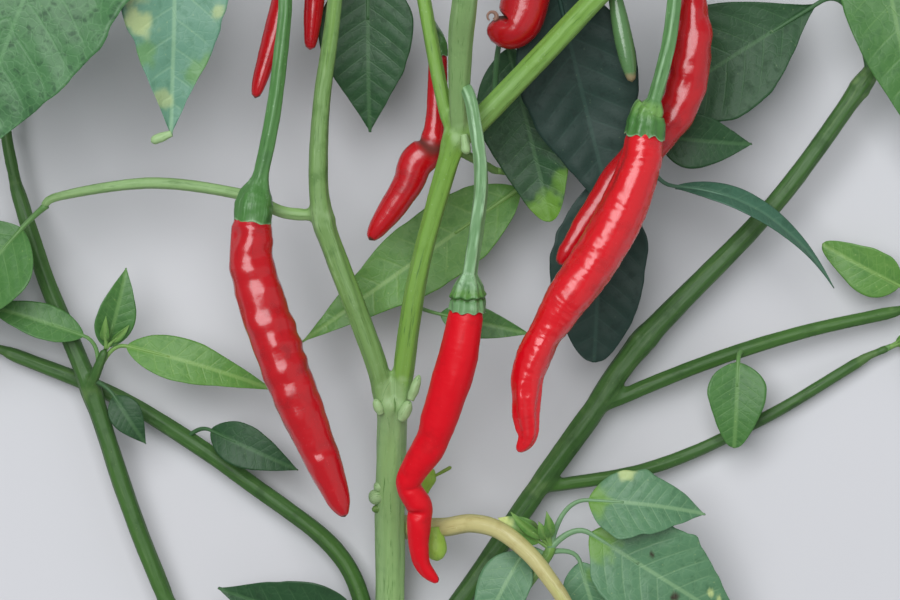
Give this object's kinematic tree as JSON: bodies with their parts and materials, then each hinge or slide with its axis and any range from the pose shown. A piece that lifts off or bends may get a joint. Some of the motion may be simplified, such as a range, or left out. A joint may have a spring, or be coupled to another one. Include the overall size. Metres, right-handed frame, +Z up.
{
  "type": "cut fruiting top of a chilli pepper plant",
  "caption": "Forked, fruiting top of a chilli pepper plant, cut through its main stem and lying down, with long curved red pods under ribbed green calyces and pointed leaves.",
  "frame": {"origin": "middle of the bounding box at its underside, on the level surface that the cut plant lies on", "axes": "+X across the plant to the picture's right, +Y from the stem's cut end towards the tips, +Z up from the surface towards the camera"},
  "size_m": [0.3012, 0.2702, 0.094],
  "materials": {
    "stem": "satin, finely streaked",
    "rear_stem": "satin",
    "fruit_stalk": "satin, ribbed",
    "ripe_pod": "glossy, waxy",
    "shaded_pod": "glossy, waxy",
    "unripe_pod": "glossy",
    "leaf": "satin, veined",
    "dark_leaf": "satin, veined"
  },
  "bodies": {
    "root": {"arched_leaf": "leaf", "back_crown": "leaf", "back_kinked_pod": "shaded_pod", "back_kinked_stalk": "fruit_stalk", "back_left_bough": "rear_stem", "back_left_end": "leaf", "back_left_inner_pod": "shaded_pod", "back_left_inner_stalk": "fruit_stalk", "back_left_outer_pod": "shaded_pod", "back_left_outer_stalk": "fruit_stalk", "back_right_bough": "rear_stem", "back_right_low_twig": "rear_stem", "back_right_side_twig": "rear_stem", "bright_back_leaf": "leaf", "bright_rear_leaf": "leaf", "centre_pod": "ripe_pod", "centre_stalk": "fruit_stalk", "crown_centre": "leaf", "crown_fork_left": "leaf", "crown_left": "leaf", "crown_right": "leaf", "dark_rear_leaf": "dark_leaf", "far_left_bough": "rear_stem", "far_left_end": "leaf", "far_left_foot": "rear_stem", "foot_leaf": "dark_leaf", "fork_centre_twig": "stem", "fork_left_twig": "stem", "fork_right_twig": "stem", "green_pod": "unripe_pod", "green_stalk": "fruit_stalk", "left_axil_leaf": "dark_leaf", "left_bough": "stem", "left_pod": "shaded_pod", "left_shoot": "leaf", "left_stalk": "fruit_stalk", "low_shoot": "leaf", "low_twig_end": "leaf", "main_stem": "stem", "rear_spray": "dark_leaf", "right_bough": "stem", "right_pod": "ripe_pod", "right_rear_pod": "shaded_pod", "right_rear_stalk": "fruit_stalk", "right_stalk": "fruit_stalk", "side_twig_end": "leaf", "side_twig_leaf": "leaf", "small_back_leaf": "leaf", "top_hooked_pod": "shaded_pod", "top_hooked_stalk": "fruit_stalk", "upper_back_leaf": "leaf", "yellowed_side_stalk": "leaf"}
  },
  "joints": []
}
